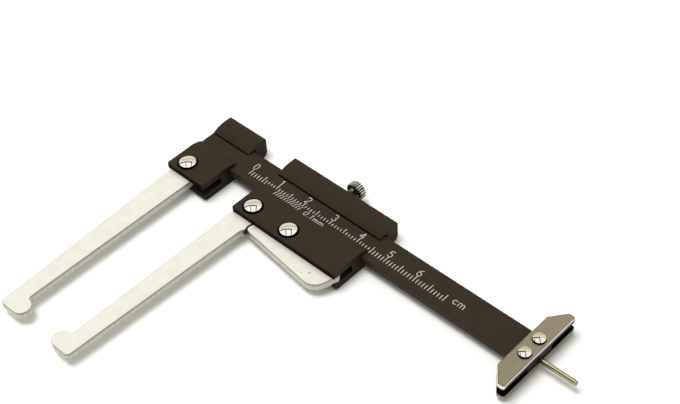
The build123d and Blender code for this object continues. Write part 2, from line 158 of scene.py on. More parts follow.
class ScrewSettings(bpy.types.PropertyGroup):
    """Sizes of the turned lock screw."""

    ridges: IntProperty(name="Knurl ridges", description="Ridges round the head", default=24, min=8)
    ridge_depth: length("Ridge depth", "Depth of the straight knurl", 0.3)
    pitch: length("Thread pitch", "Distance between two threads", 0.5)
    thread_depth: length("Thread depth", "Depth of the thread", 0.28)
    bevel: length("Rim bevel", "Bevel of the head's two rims", 0.3)
    collar: length("Collar", "Diameter of the collar under the head", 4.2)
    collar_length: length("Collar length", "Length of that collar", 0.35)
    neck: length("Thread", "Diameter of the thread", 3.0)
    head_length: length("Head length", "Length of the knurled head", 2.2)
    tip: length("Tip", "Diameter of the plain tip", 1.8)
    tip_length: length("Tip length", "Length of the plain tip", 0.5)


class StageSettings(bpy.types.PropertyGroup):
    """Camera, lamp, cards and floor of the studio."""

    lens: FloatProperty(name="Lens", description="Focal length in millimetres", default=74.76, min=1)
    around: FloatProperty(
        name="Around", description="Camera's angle round the object", default=math.radians(46.062), subtype="ANGLE"
    )
    above: FloatProperty(
        name="Above", description="Camera's angle over the floor", default=math.radians(45.807), subtype="ANGLE"
    )
    roll: FloatProperty(name="Roll", description="Camera's tilt", default=math.radians(-3.982), subtype="ANGLE")
    place: FloatVectorProperty(
        name="Place", description="Camera's place", default=(0.226033, -0.178403, 0.278484), size=3, subtype="XYZ"
    )
    floor_size: length("Floor", "Side of the floor", 6000, precision=2)
    lamp_power: FloatProperty(name="Lamp power", description="Power of the softbox in watts", default=29.5, min=0)
    lamp_size: length("Lamp", "Side of the softbox", 1080, precision=3)
    lamp_from: FloatVectorProperty(
        name="Lamp from", description="Direction and distance of the softbox", default=(-0.4, -0.25, 2), size=3
    )
    paper: FloatProperty(
        name="Paper",
        description="How bright the camera sees the floor, so that it stays plain white",
        default=1.12,
        min=0,
    )
    ambient: FloatProperty(name="Ambient", description="Level of the white room's light", default=0.4, min=0)
    ambient_colour: tint("Ambient colour", "Colour of the white room's light", "#FFFFF3")
    card_distance: length("Cards", "Distance of the reflected cards", 3000, precision=2)


def node(tree, kind, feeds=None, **settings):
    """Adds a node with its settings, and feeds each named input a value or another output."""
    made = tree.nodes.new(kind)
    for name, value in settings.items():
        setattr(made, name, value)
    for name, feed in (feeds or {}).items():
        if isinstance(feed, bpy.types.NodeSocket):
            tree.links.new(feed, made.inputs[name])
        else:
            made.inputs[name].default_value = feed
    return made


def rgba(colour):
    """Colour with full alpha."""
    return (*colour, 1.0)


def shaded(colour, share):
    """Colour made darker or lighter by a share, with full alpha."""
    return rgba([min(1.0, c * share) for c in colour])


def blank_material(name):
    """New node material with only its output."""
    material = bpy.data.materials.new(name)
    material.use_nodes = True
    tree = material.node_tree
    tree.nodes.clear()
    return material, tree, tree.nodes.new("ShaderNodeOutputMaterial")


def grain(tree, size_mm, low, high, stretch=(1, 1, 1), detail=2.0):
    """Value from low to high that wanders with a grain of a real size, stretched along the axes."""
    place = node(tree, "ShaderNodeTexCoord").outputs["Object"]
    scale = [1 / (size_mm * MM * s) for s in stretch]
    spread = node(tree, "ShaderNodeMapping", {"Vector": place, "Scale": scale})
    noise = node(tree, "ShaderNodeTexNoise", {"Vector": spread.outputs[0], "Scale": 1.0, "Detail": detail})
    feeds = {"Value": noise.outputs["Fac"], "From Min": 0.3, "From Max": 0.7, "To Min": low, "To Max": high}
    return node(tree, "ShaderNodeMapRange", feeds).outputs[0]


def mottled(tree, colour, size_mm, dark, light, detail=2.0):
    """Colour that wanders between a darker and a lighter share of itself, with a grain of a real size."""
    feeds = {0: grain(tree, size_mm, 0, 1, detail=detail), 6: shaded(colour, dark), 7: shaded(colour, light)}
    return node(tree, "ShaderNodeMix", feeds, data_type="RGBA").outputs[2]


def relief(tree, height, depth_mm, edge_mm):
    """Normal of a surface with a fine relief, its edges softened."""
    soft_edge = node(tree, "ShaderNodeBevel", {"Radius": edge_mm * MM}, samples=6)
    feeds = {"Height": height, "Distance": depth_mm * MM, "Normal": soft_edge.outputs[0]}
    return node(tree, "ShaderNodeBump", feeds).outputs[0]


def looks_along(tree, axis):
    """How far a face looks along an axis: 1 straight along it, 0 across it, -1 against it."""
    normal = node(tree, "ShaderNodeNewGeometry").outputs["Normal"]
    return node(tree, "ShaderNodeSeparateXYZ", {0: normal}).outputs[axis]


def flatness(tree, side=0.75, flat=0.97):
    """1 on level faces, 0 on upright ones, with a soft step between."""
    level = node(tree, "ShaderNodeMath", {0: looks_along(tree, Z)}, operation="ABSOLUTE").outputs[0]
    return node(tree, "ShaderNodeMapRange", {"Value": level, "From Min": side, "From Max": flat}).outputs[0]


def height_over(tree):
    """Height of a point over the resting face."""
    here = node(tree, "ShaderNodeTexCoord").outputs["Object"]
    return node(tree, "ShaderNodeSeparateXYZ", {0: here}).outputs[Z]


def banded(tree, value, low, high, bands):
    """Colours in bands along a value from low to high, each at its share of the way."""
    share = node(tree, "ShaderNodeMapRange", {"Value": value, "From Min": low, "From Max": high}).outputs[0]
    ramp = node(tree, "ShaderNodeValToRGB", {0: share})
    stops = ramp.color_ramp.elements
    for stop, (place, colour) in zip((stops[0], stops[-1]), (bands[0], bands[-1])):
        stop.position = place
        stop.color = colour
    for place, colour in bands[1:-1]:
        stops.new(place).color = colour
    return ramp.outputs[0]


def specks(tree, places_mm):
    """1 within small spots of given places and radii, 0 elsewhere."""
    total = 0.0
    here = node(tree, "ShaderNodeTexCoord").outputs["Object"]
    for *place, radius in places_mm:
        spot = [c * MM for c in place]
        away = node(tree, "ShaderNodeVectorMath", {0: here, 1: spot}, operation="DISTANCE").outputs["Value"]
        feeds = {"Value": away, "From Min": radius * 0.5 * MM, "From Max": radius * MM, "To Min": 1, "To Max": 0}
        near = node(tree, "ShaderNodeMapRange", feeds).outputs[0]
        total = node(tree, "ShaderNodeMath", {0: near, 1: total}, operation="MAXIMUM").outputs[0]
    return total


def black_anodised_aluminium(name, colour, wall_shade, end_shade):
    """Fine etched, dyed and sealed aluminium: a soft, warm black with a faint sheen and no mirror."""
    material, tree, output = blank_material(name)
    tone = mottled(tree, colour, 7.0, 0.9, 1.1)
    # Sawn ends and side walls are painted darker than the drawn faces, each by its own share: painted shade.
    # The side walls also shine less in step with that painted shade.
    normal = node(tree, "ShaderNodeNewGeometry").outputs["Normal"]
    facing = node(tree, "ShaderNodeVectorMath", {0: normal}, operation="ABSOLUTE").outputs[0]
    parts = node(tree, "ShaderNodeSeparateXYZ", {0: facing}).outputs
    end, wall = parts[X], parts[Y]
    feeds = {0: end, 6: shaded(colour, wall_shade), 7: shaded(colour, end_shade)}
    side = node(tree, "ShaderNodeMix", feeds, data_type="RGBA").outputs[2]
    feeds = {0: flatness(tree, 0.3, 0.6), 6: side, 7: tone}
    shaded_tone = node(tree, "ShaderNodeMix", feeds, data_type="RGBA")
    faint = 0.12
    wall_sheen = faint * min(1.0, 2 * wall_shade)
    feeds = {"Value": wall, "From Min": 0.6, "From Max": 0.9, "To Min": faint, "To Max": wall_sheen}
    sheen = node(tree, "ShaderNodeMapRange", feeds).outputs[0]
    # The real etch is a few hundredths of a millimetre, drawn coarser so that it shows
    etch = grain(tree, 0.3, 0, 1, detail=4)
    shader = node(
        tree,
        "ShaderNodeBsdfPrincipled",
        {
            "Base Color": shaded_tone.outputs[2],
            "Roughness": grain(tree, 0.6, 0.5, 0.6),
            "Specular IOR Level": sheen,
            "Normal": relief(tree, etch, 0.012, 0.12),
        },
    )
    tree.links.new(shader.outputs[0], output.inputs[0])
    return material


def ground_aluminium(face, side, soil, low, high):
    """Legs blanked from sheet: finely ground, half matt flats, and cut sides with burr, sheared and torn bands."""
    material, tree, output = blank_material("ground_aluminium")
    # Grinding lines run along the legs, drawn coarser than the real grit of a few hundredths
    lines = grain(tree, 0.22, 0, 1, stretch=(1, 24, 1))
    face_tone = mottled(tree, face, 2.5, 0.95, 1.03, detail=5)
    bands = [
        (0.0, shaded(side, 0.8)),
        (0.14, shaded(side, 0.8)),
        (0.22, rgba(side)),
        (0.66, rgba(side)),
        (0.78, shaded(side, 0.6)),
        (0.94, shaded(side, 0.6)),
        (1.0, shaded(side, 0.9)),
    ]
    side_tone = banded(tree, height_over(tree), low, high, bands)
    # Marks of the tool run across the sheet, down the cut side
    streaks = grain(tree, 0.3, 0.85, 1.1, stretch=(1, 1, 6))
    streaked = node(tree, "ShaderNodeVectorMath", {0: side_tone, "Scale": streaks}, operation="SCALE").outputs[0]
    level = flatness(tree)
    tone = node(tree, "ShaderNodeMix", {0: level, 6: streaked, 7: face_tone}, data_type="RGBA")
    pits = specks(tree, SPECKS)
    # Painted shade darkens the seam between sliding leg and thumb rest, on their cut sides only
    seam_shade = node(tree, "ShaderNodeMath", {0: specks(tree, SEAM_SHADE), 1: level}, operation="SUBTRACT", use_clamp=True)
    specks_and_seam_shade = node(tree, "ShaderNodeMath", {0: seam_shade.outputs[0], 1: pits}, operation="MAXIMUM").outputs[0]
    specked_and_shaded = node(tree, "ShaderNodeMix", {0: specks_and_seam_shade, 6: tone.outputs[2], 7: rgba(soil)}, data_type="RGBA")
    shader = node(
        tree,
        "ShaderNodeBsdfPrincipled",
        {
            "Base Color": specked_and_shaded.outputs[2],
            "Metallic": 0.35,
            "Roughness": grain(tree, 1.2, 0.34, 0.44),
            "Normal": relief(tree, lines, 0.006, 0.1),
        },
    )
    tree.links.new(shader.outputs[0], output.inputs[0])
    return material


def metal(name, colour, roughness, scratch_mm, stretch, depth_mm, edge_mm=0.05, dressed=None):
    """Bare or plated metal with its working marks as fine lines, its colour then dressed by a function."""
    material, tree, output = blank_material(name)
    scratch = grain(tree, scratch_mm, 0, 1, stretch=stretch)
    feeds = {0: scratch, 6: shaded(colour, 0.93), 7: shaded(colour, 1.05)}
    tone = node(tree, "ShaderNodeMix", feeds, data_type="RGBA").outputs[2]
    if dressed:
        tone = dressed(tree, tone)
    low, high = roughness
    shader = node(
        tree,
        "ShaderNodeBsdfPrincipled",
        {
            "Base Color": tone,
            "Metallic": 1.0,
            "Roughness": grain(tree, scratch_mm * 3, low, high, stretch=stretch),
            "Normal": relief(tree, scratch, depth_mm, edge_mm),
        },
    )
    tree.links.new(shader.outputs[0], output.inputs[0])
    return material


def polished_steel(name, colour):
    """Cold headed and tumbled steel: bright, with reflections hardly softened."""
    return metal(name, colour, (0.02, 0.04), 0.5, (1, 1, 1), 0.0002, edge_mm=0.02)


def bright_steel(colour, dust, axis, foot, crest):
    """Turned and nickel plated thumb screw: bright, a little softened, with painted shade in the knurl's grooves
    and on the narrower round sides.
    """

    def dressed(tree, tone):
        here = node(tree, "ShaderNodeTexCoord").outputs["Object"]
        off_axis = node(tree, "ShaderNodeVectorMath", {0: here, 1: axis}, operation="SUBTRACT").outputs[0]
        across = node(tree, "ShaderNodeVectorMath", {0: off_axis, 1: (1, 0, 1)}, operation="MULTIPLY").outputs[0]
        radius = node(tree, "ShaderNodeVectorMath", {0: across}, operation="LENGTH").outputs["Value"]
        feeds = {"Value": radius, "From Min": foot, "From Max": crest, "To Min": 1, "To Max": 0}
        deep = node(tree, "ShaderNodeMapRange", feeds).outputs[0]
        facing = node(tree, "ShaderNodeMath", {0: looks_along(tree, Y)}, operation="ABSOLUTE").outputs[0]
        feeds = {"Value": facing, "From Min": 0.6, "From Max": 0.4}
        round_side = node(tree, "ShaderNodeMapRange", feeds).outputs[0]
        groove_shade = node(tree, "ShaderNodeMath", {0: deep, 1: round_side}, operation="MULTIPLY").outputs[0]
        return node(tree, "ShaderNodeMix", {0: groove_shade, 6: tone, 7: rgba(dust)}, data_type="RGBA").outputs[2]

    return metal("bright_turned_steel", colour, (0.05, 0.1), 0.5, (1, 1, 1), 0.0005, dressed=dressed)


def nickel_plated_steel(name, colour, soil, dust, inner, low, high, bands, band_shift):
    """Blanked steel under dull nickel, linished along the plate: warm grey flats, sides banded with painted
    highlight and shade, inside painted dark as shade.
    """

    def dressed(tree, tone):
        # The sides' painted highlight and shade bands climb or sink round the corners: lighter at the near end,
        # darker at the far one
        far_end = looks_along(tree, Y)
        reach = band_shift * (high - low)
        feeds = {"Value": far_end, "From Min": -0.6, "From Max": 0.6, "To Min": reach, "To Max": -reach}
        climb = node(tree, "ShaderNodeMapRange", feeds).outputs[0]
        level = node(tree, "ShaderNodeMath", {0: height_over(tree), 1: climb}, operation="ADD").outputs[0]
        side = banded(tree, level, low, high, bands)
        feeds = {0: flatness(tree, 0.86, 0.985), 6: side, 7: tone}
        outer = node(tree, "ShaderNodeMix", feeds, data_type="RGBA").outputs[2]
        # Painted shade along the break between flat and side
        level = node(tree, "ShaderNodeMath", {0: looks_along(tree, Z)}, operation="ABSOLUTE").outputs[0]
        unshaded_stop, shaded_stop = (0, 0, 0, 1), (1, 1, 1, 1)
        edge_shade = banded(tree, level, 0.7, 1.0, [(0.3, unshaded_stop), (0.55, shaded_stop), (0.85, shaded_stop), (0.97, unshaded_stop)])
        share = node(tree, "ShaderNodeMath", {0: edge_shade, 1: 0.75}, operation="MULTIPLY").outputs[0]
        outer = node(tree, "ShaderNodeMix", {0: share, 6: outer, 7: rgba(soil)}, data_type="RGBA").outputs[2]
        # Inner faces are painted near black as shade
        turned = node(tree, "ShaderNodeMath", {0: looks_along(tree, Z), 1: inner}, operation="MULTIPLY").outputs[0]
        inner_shade = node(tree, "ShaderNodeMapRange", {"Value": turned, "From Min": 0.4, "From Max": 0.6}).outputs[0]
        return node(tree, "ShaderNodeMix", {0: inner_shade, 6: outer, 7: rgba(dust)}, data_type="RGBA").outputs[2]

    return metal(name, colour, (0.3, 0.42), 0.2, (1, 20, 1), 0.004, edge_mm=0.1, dressed=dressed)


def drawn_steel_rod(colour, soil):
    """Drawn steel rod, slightly yellow, with lines along its length, painted lighter towards the legs and on its
    top and darker on its back and underside, as painted shade.
    """

    def dressed(tree, tone):
        feeds = {"Value": looks_along(tree, Z), "From Min": 0.0, "From Max": 0.35}
        facing_up = node(tree, "ShaderNodeMapRange", feeds).outputs[0]
        feeds = {"Value": looks_along(tree, Y), "From Min": 0.5, "From Max": 0.1}
        front = node(tree, "ShaderNodeMapRange", feeds).outputs[0]
        bright = node(tree, "ShaderNodeMath", {0: facing_up, 1: front}, operation="MULTIPLY").outputs[0]
        return node(tree, "ShaderNodeMix", {0: bright, 6: rgba(soil), 7: tone}, data_type="RGBA").outputs[2]

    return metal("drawn_steel_rod", colour, (0.14, 0.22), 0.12, (30, 1, 1), 0.002, dressed=dressed)


def rolled_brass(colour):
    """Rolled brass strip, dull yellow."""
    return metal("rolled_brass", colour, (0.3, 0.4), 0.2, (20, 1, 1), 0.002)


def blackened_steel(colour):
    """Oil blackened steel screws, nearly black with a faint gloss."""
    return metal("blackened_steel", colour, (0.35, 0.5), 0.3, (1, 1, 1), 0.002)


def matt(name, colour, size_mm, dark, light, roughness, sheen):
    """Matt stuff of uneven tone."""
    material, tree, output = blank_material(name)
    tone = mottled(tree, colour, size_mm, dark, light)
    feeds = {"Base Color": tone, "Roughness": roughness, "Specular IOR Level": sheen}
    shader = node(tree, "ShaderNodeBsdfPrincipled", feeds)
    tree.links.new(shader.outputs[0], output.inputs[0])
    return material


def filled_engraving(colour):
    """Off-white enamel rubbed into engraved lines: matt, and slightly uneven in tone."""
    return matt("filled_engraving", colour, 0.6, 0.8, 1.05, roughness=0.7, sheen=0.3)


def oily_dust(colour):
    """Matt near black that stands in for shade: painted shadow along the lips and painted shade round rivet heads,
    a little uneven.
    """
    return matt("oily_dust", colour, 0.5, 0.6, 1.3, roughness=0.8, sheen=0.0)


def finish_nodes(names, material):
    """Gives a finish to solids of the frame."""
    for name in names:
        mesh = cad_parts[name].data
        mesh.materials.clear()
        mesh.materials.append(material)


def placed(name, mesh_source, material):
    """New object in the scene from a bmesh, which it frees, with its material."""
    mesh = bpy.data.meshes.new(name)
    mesh_source.to_mesh(mesh)
    mesh_source.free()
    mesh.materials.append(material)
    made = bpy.data.objects.new(name, mesh)
    bpy.context.scene.collection.objects.link(made)
    return made


def piece(name, mesh_source, material, body):
    """New mesh piece on a body, from a filled bmesh, smooth but for its sharp edges."""
    bmesh.ops.recalc_face_normals(mesh_source, faces=mesh_source.faces)
    for face in mesh_source.faces:
        face.smooth = True
    for edge in mesh_source.edges:
        edge.smooth = edge.calc_face_angle(0) < SHARP
    made = placed(name, mesh_source, material)
    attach(made, body)
    return made


def skinned(rings):
    """Closed skin over rings of points, the first and last ring drawn to a point."""
    mesh = bmesh.new()
    rows = [[mesh.verts.new(point) for point in ring] for ring in rings]
    for near, far in zip(rows, rows[1:]):
        for step in range(len(near)):
            after = (step + 1) % len(near)
            mesh.faces.new((near[step], near[after], far[after], far[step]))
    bmesh.ops.remove_doubles(mesh, verts=mesh.verts, dist=MERGED)
    return mesh


# Glyphs drawn with a round cutter, in a cell one unit high


def bow(centre_x, centre_y, radius_x, radius_y, start, end, steps=14):
    """Points of an elliptic arc between two angles in degrees."""
    turns = [math.radians(start + (end - start) * i / steps) for i in range(steps + 1)]
    return [(centre_x + radius_x * math.cos(t), centre_y + radius_y * math.sin(t)) for t in turns]


def small_m(left):
    """Strokes of a low m from its left edge."""
    return [
        [(left, 0), (left, 0.6)],
        bow(left + 0.19, 0.38, 0.19, 0.2, 180, 0) + [(left + 0.38, 0)],
        bow(left + 0.57, 0.38, 0.19, 0.2, 180, 0) + [(left + 0.76, 0)],
    ]


GLYPHS = {
    "0": [bow(0.3, 0.5, 0.26, 0.5, 0, 360, 24)],
    "1": [[(0.12, 0.78), (0.32, 1.0), (0.32, 0)]],
    "2": [bow(0.3, 0.72, 0.26, 0.28, 165, -35) + [(0.03, 0.0), (0.58, 0.0)]],
    "3": [bow(0.28, 0.75, 0.24, 0.25, 150, -90), bow(0.28, 0.26, 0.28, 0.26, 90, -150)],
    "4": [[(0.44, 0), (0.44, 1.0), (0.0, 0.32), (0.6, 0.32)]],
    "5": [[(0.54, 1.0), (0.14, 1.0), (0.08, 0.55)] + bow(0.28, 0.31, 0.28, 0.31, 135, -150)],
    "6": [bow(0.3, 0.3, 0.27, 0.3, 0, 360, 20), bow(0.62, 0.36, 0.59, 0.64, 180, 100, 8)],
    "c": [bow(0.3, 0.3, 0.28, 0.3, 45, 315)],
    "m": small_m(0),
    ".": [[(0.05, 0.0), (0.07, 0.0)]],
}
ADVANCE = {"c": 0.82, "m": 1.0, ".": 0.3, "1": 0.6}
WIDE = 0.8


class Engraver:
    """Lays lines of enamel on a surface given as a height over plan places."""

    LIFT = 0.012 * MM
    SUNK = 0.02 * MM
    STEP = 0.3 * MM
    CAP = 0.6  # how far a line runs past its ends, as a share of half its width

    def __init__(self, height, width):
        self.height = height
        self.width = width
        self.mesh = bmesh.new()

    def on_surface(self, x, y, lift):
        return self.mesh.verts.new((x, y, self.height(y) + lift))

    def line(self, points):
        """One line with square corners closed by its width, as a thin closed solid in short steps."""
        corners = [Vector(p) for p in points]
        path = corners[:1]
        for start, end in zip(corners, corners[1:]):
            steps = max(1, math.ceil((end - start).length / self.STEP))
            path += [start.lerp(end, i / steps) for i in range(1, steps + 1)]
        half = self.width / 2
        rows = []
        for i, point in enumerate(path):
            before = path[max(i - 1, 0)]
            after = path[min(i + 1, len(path) - 1)]
            along = (after - before).normalized()
            side = Vector((-along.y, along.x)) * half
            if i == 0:
                point = point - along * half * self.CAP
            if i == len(path) - 1:
                point = point + along * half * self.CAP
            left, right = point + side, point - side
            rows.append(
                [
                    self.on_surface(left.x, left.y, self.LIFT),
                    self.on_surface(right.x, right.y, self.LIFT),
                    self.on_surface(right.x, right.y, -self.SUNK),
                    self.on_surface(left.x, left.y, -self.SUNK),
                ]
            )
        for near, far in zip(rows, rows[1:]):
            for a in range(4):
                b = (a + 1) % 4
                self.mesh.faces.new((near[a], near[b], far[b], far[a]))
        self.mesh.faces.new(rows[0][::-1])
        self.mesh.faces.new(rows[-1])

    def text(self, words, left, foot, size):
        """Words from their lower left corner."""
        for letter in words:
            for stroke in GLYPHS[letter]:
                self.line([(left + x * size, foot + y * size) for x, y in stroke])
            left += ADVANCE.get(letter, WIDE) * size


class CALIPER_OT_bodies(bpy.types.Operator):
    """Black anodising on the beam, the head and the slider"""

    bl_idname = "caliper.bodies"
    bl_label = "Anodise bodies and beam"

    def execute(self, context):
        colour = context.scene.caliper_finish.coat
        # Painted shade: the beam's ends, and the profile's ends and side walls, are drawn darker
        finish_nodes(("beam",), black_anodised_aluminium("black_anodised_beam", colour, 1.0, 0.3))
        profile = black_anodised_aluminium("black_anodised_profile", colour, 0.12, 0.7)
        finish_nodes(("head_body", "slider_body"), profile)
        return {"FINISHED"}


class CALIPER_OT_legs(bpy.types.Operator):
    """Ground aluminium on the legs and the thumb rest"""

    bl_idname = "caliper.legs"
    bl_label = "Grind legs and thumb rest"

    def execute(self, context):
        finish = context.scene.caliper_finish
        low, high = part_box("fixed_leg")
        metal_sheet = ground_aluminium(finish.aluminium, finish.milled, finish.soil, low.z, high.z)
        finish_nodes(("fixed_leg", "sliding_leg", "thumb_rest"), metal_sheet)
        return {"FINISHED"}


class CALIPER_OT_depth_base(bpy.types.Operator):
    """Nickel on the tread depth base's plates, drawn steel on its rod"""

    bl_idname = "caliper.depth_base"
    bl_label = "Finish depth base and rod"

    def execute(self, context):
        finish = context.scene.caliper_finish
        soil, dust = finish.soil, finish.dust
        dark, bright, brown = rgba(dust), rgba(finish.nickel_edge), rgba(finish.nickel_brown)
        # Upper plate's sides: painted shade low, painted highlight high. Lower plate's sides: painted shade,
        # darkest at the top by the gap
        upper = [(0.0, dark), (0.62, dark), (0.74, bright), (1.0, bright)]
        lower = [(0.0, brown), (0.84, brown), (0.95, dark), (1.0, dark)]
        # Each plate's inner face, the painted highlight and shade bands on its cut sides, and how far those bands
        # shift round the corners
        plates = (("bridge_plate_top", -1, upper, 0.55), ("bridge_plate_bottom", 1, lower, 0.0))
        for name, inner, bands, band_shift in plates:
            low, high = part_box(name)
            plate = nickel_plated_steel(
                name + "_nickel", finish.nickel, soil, dust, inner, low.z, high.z, bands, band_shift
            )
            finish_nodes((name,), plate)
        finish_nodes(("depth_rod",), drawn_steel_rod(finish.rod, finish.rod_scale))
        return {"FINISHED"}


class CALIPER_OT_rivets(bpy.types.Operator):
    """Domed rivets with a rounded rim and polish, in place of the plain solids"""

    bl_idname = "caliper.rivets"
    bl_label = "Set rivets"

    AROUND = 120
    DOME_ROWS = 28
    COLLAR_EDGE = 0.25  # width of the collar's slope to the rim, as a share of the collar
    RIM_BREAK = 0.7  # height at which the rim turns upright, as a share of the rim

    def form(self, sizes, kind):
        """Sizes of one kind of rivet, with its diameters as radii."""
        parts = ("head", "dome", "shank", "rim", "collar", "ring")
        head, dome, shank, *edges = (getattr(sizes, f"{kind}_{part}") for part in parts)
        return head / 2, dome, shank / 2, *edges

    def profile(self, sizes, head, dome, shank, rim, collar, ring, height):
        """Radius and height from the dome's top down to the tail, with the head's seat at zero."""
        sag = dome - rim
        bend = (head * head + sag * sag) / (2 * sag)
        lean = math.asin((head - collar) / bend)
        turns = [lean * i / self.DOME_ROWS for i in range(self.DOME_ROWS + 1)]
        points = [(bend * math.sin(t), dome - bend + bend * math.cos(t)) for t in turns]
        tail = dome - height
        points += [(head - self.COLLAR_EDGE * collar, rim), (head, self.RIM_BREAK * rim), (head, sizes.ring_rise)]
        points += [(head + ring, sizes.ring_rise), (head + ring, -sizes.ring_rise), (shank, -sizes.ring_rise)]
        points += [(shank, tail + sizes.tail_height), (shank + sizes.tail_flare, tail), (0, tail)]
        return points

    def execute(self, context):
        sizes = context.scene.caliper_rivets
        finish = context.scene.caliper_finish
        leg_steel = polished_steel("polished_steel", finish.steel)
        base_steel = polished_steel("polished_warm_steel", finish.warm_steel)
        edge_shade = oily_dust(finish.dust)
        leg, plate = self.form(sizes, "leg"), self.form(sizes, "plate")
        made = {
            "fixed_leg_rivet": (leg, leg_steel, "base"),
            "sliding_leg_rivet": (leg, leg_steel, "slider"),
            "thumb_rest_rivet": (leg, leg_steel, "slider"),
            "bridge_rivet_rear": (plate, base_steel, "base"),
            "bridge_rivet_front": (plate, base_steel, "base"),
        }
        turns = [math.tau * step / self.AROUND for step in range(self.AROUND)]
        for name, (form, steel, body) in made.items():
            head, dome, _, _, collar, _ = form
            low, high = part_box(name)
            middle = (low + high) / 2
            seat = high.z - dome
            rings = []
            for r, rise in self.profile(sizes, *form, high.z - low.z):
                rings.append([(middle.x + r * math.cos(t), middle.y + r * math.sin(t), seat + rise) for t in turns])
            mesh = skinned(rings)
            # Faces beyond the dome's edge, the collar, rim and ring, take the painted shade
            for face in mesh.faces:
                out = (face.calc_center_median() - middle).xy.length
                face.material_index = int(out > head - collar)
            rivet = piece(name + "_headed", mesh, steel, body)
            rivet.data.materials.append(edge_shade)
            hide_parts(name)
        return {"FINISHED"}


class CALIPER_OT_lip_dust(bpy.types.Operator):
    """Thin lines of painted shadow on the beam, along the rail lips of head and slider"""

    bl_idname = "caliper.lip_dust"
    # A painted shadow along each lip's edge, drawn as a thin near-black strip
    bl_label = "Wipe dust along lips"

    LIP_TIP = 2.85 * MM  # the rail lip's edge over the beam
    THICK = 0.03 * MM
    TUCK = 0.02 * MM  # how far the line reaches under the lip
    STEPS = 60

    def execute(self, context):
        finish = context.scene.caliper_finish
        dust = oily_dust(finish.dust)
        width = finish.dust_width
        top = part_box("beam")[1].z
        sunk, thin, thick = top - self.THICK, top + self.THICK / 3, top + self.THICK
        for name, body in (("head_body", "base"), ("slider_body", "slider")):
            low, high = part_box(name)
            start = max(low.x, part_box("beam")[0].x)
            rings = []
            for i in range(self.STEPS + 1):
                x = start + (high.x - start) * i / self.STEPS
                front = self.LIP_TIP - width * (1 + 0.15 * math.sin(i * 1.7) + 0.1 * math.sin(i * 4.1))
                back = self.LIP_TIP + self.TUCK
                rings.append([(x, front, sunk), (x, front, thin), (x, back, thick), (x, back, sunk)])
            mesh = skinned(rings)
            bmesh.ops.holes_fill(mesh, edges=[e for e in mesh.edges if e.is_boundary])
            piece(name + "_lip_shadow", mesh, dust, body)
        return {"FINISHED"}


class CALIPER_OT_inner_parts(bpy.types.Operator):
    """Brass on the gib strip, blackening on the hidden screws"""

    bl_idname = "caliper.inner_parts"
    bl_label = "Finish gib and screws"

    def execute(self, context):
        finish = context.scene.caliper_finish
        finish_nodes(("gib_strip",), rolled_brass(finish.brass))
        screws = [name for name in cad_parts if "fixing_screw" in name or "gib_screw" in name]
        finish_nodes(screws, blackened_steel(finish.blackened))
        return {"FINISHED"}


class CALIPER_OT_lock_screw(bpy.types.Operator):
    """Lock screw with a rolled thread and a straight knurl, in place of the plain solid"""

    bl_idname = "caliper.lock_screw"
    bl_label = "Turn lock screw"

    AROUND = 8  # mesh steps round one knurl ridge
    THREAD_ROWS = 12  # mesh rows along one thread
    DISH = 0.15 * MM  # depth of the dish in the head's end
    DISH_EDGE = 2.5  # distance of the dish from the head's side, in bevels
    OIL_FOOT, OIL_CREST = 0.6, 0.15  # depths in the knurl at which painted shade is full and gone, as shares of a ridge

    def execute(self, context):
        sizes = context.scene.caliper_screw
        low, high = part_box("lock_screw")
        centre = (low + high) / 2
        head_radius = (high.x - low.x) / 2
        full = high.y - low.y
        under_head = full - sizes.head_length
        collar_start = under_head - sizes.collar_length
        tip_end = sizes.tip_length
        stations = [(0.0, 0.0, "plain"), (0.0, sizes.tip / 2, "plain"), (tip_end, sizes.tip / 2, "plain")]
        run = collar_start - tip_end
        rows = round(run / sizes.pitch * self.THREAD_ROWS)
        for i in range(rows + 1):
            stations.append((tip_end + run * i / rows, sizes.neck / 2, "thread"))
        stations += [
            (collar_start, sizes.collar / 2, "plain"),
            (under_head, sizes.collar / 2, "plain"),
            (under_head, head_radius - sizes.bevel, "plain"),
            (under_head + sizes.bevel, head_radius, "knurl"),
            (full - sizes.bevel, head_radius, "knurl"),
            (full, head_radius - sizes.bevel, "plain"),
            (full - self.DISH, head_radius - self.DISH_EDGE * sizes.bevel, "plain"),
            (full - self.DISH, 0.0, "plain"),
        ]
        count = sizes.ridges * self.AROUND
        rings = []
        for along, radius, kind in stations:
            ring = []
            for step in range(count):
                turn = step / count
                r = radius
                if kind == "knurl":
                    r -= sizes.ridge_depth * (0.5 + 0.5 * math.cos(turn * sizes.ridges * math.tau)) ** 1.5
                elif kind == "thread":
                    phase = (along / sizes.pitch - turn) % 1.0
                    fade = min(1.0, (along - tip_end) / sizes.pitch, (collar_start - along) / sizes.pitch + 0.2)
                    r -= sizes.thread_depth * abs(2 * phase - 1) * max(fade, 0.0)
                angle = turn * math.tau
                ring.append((centre.x + r * math.sin(angle), low.y + along, centre.z + r * math.cos(angle)))
            rings.append(ring)
        finish = context.scene.caliper_finish
        foot = head_radius - self.OIL_FOOT * sizes.ridge_depth
        crest = head_radius - self.OIL_CREST * sizes.ridge_depth
        steel = bright_steel(finish.screw, finish.dust, centre, foot, crest)
        screw = piece("lock_screw_turned", skinned(rings), steel, "lock")
        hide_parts("lock_screw")
        return {"FINISHED"}


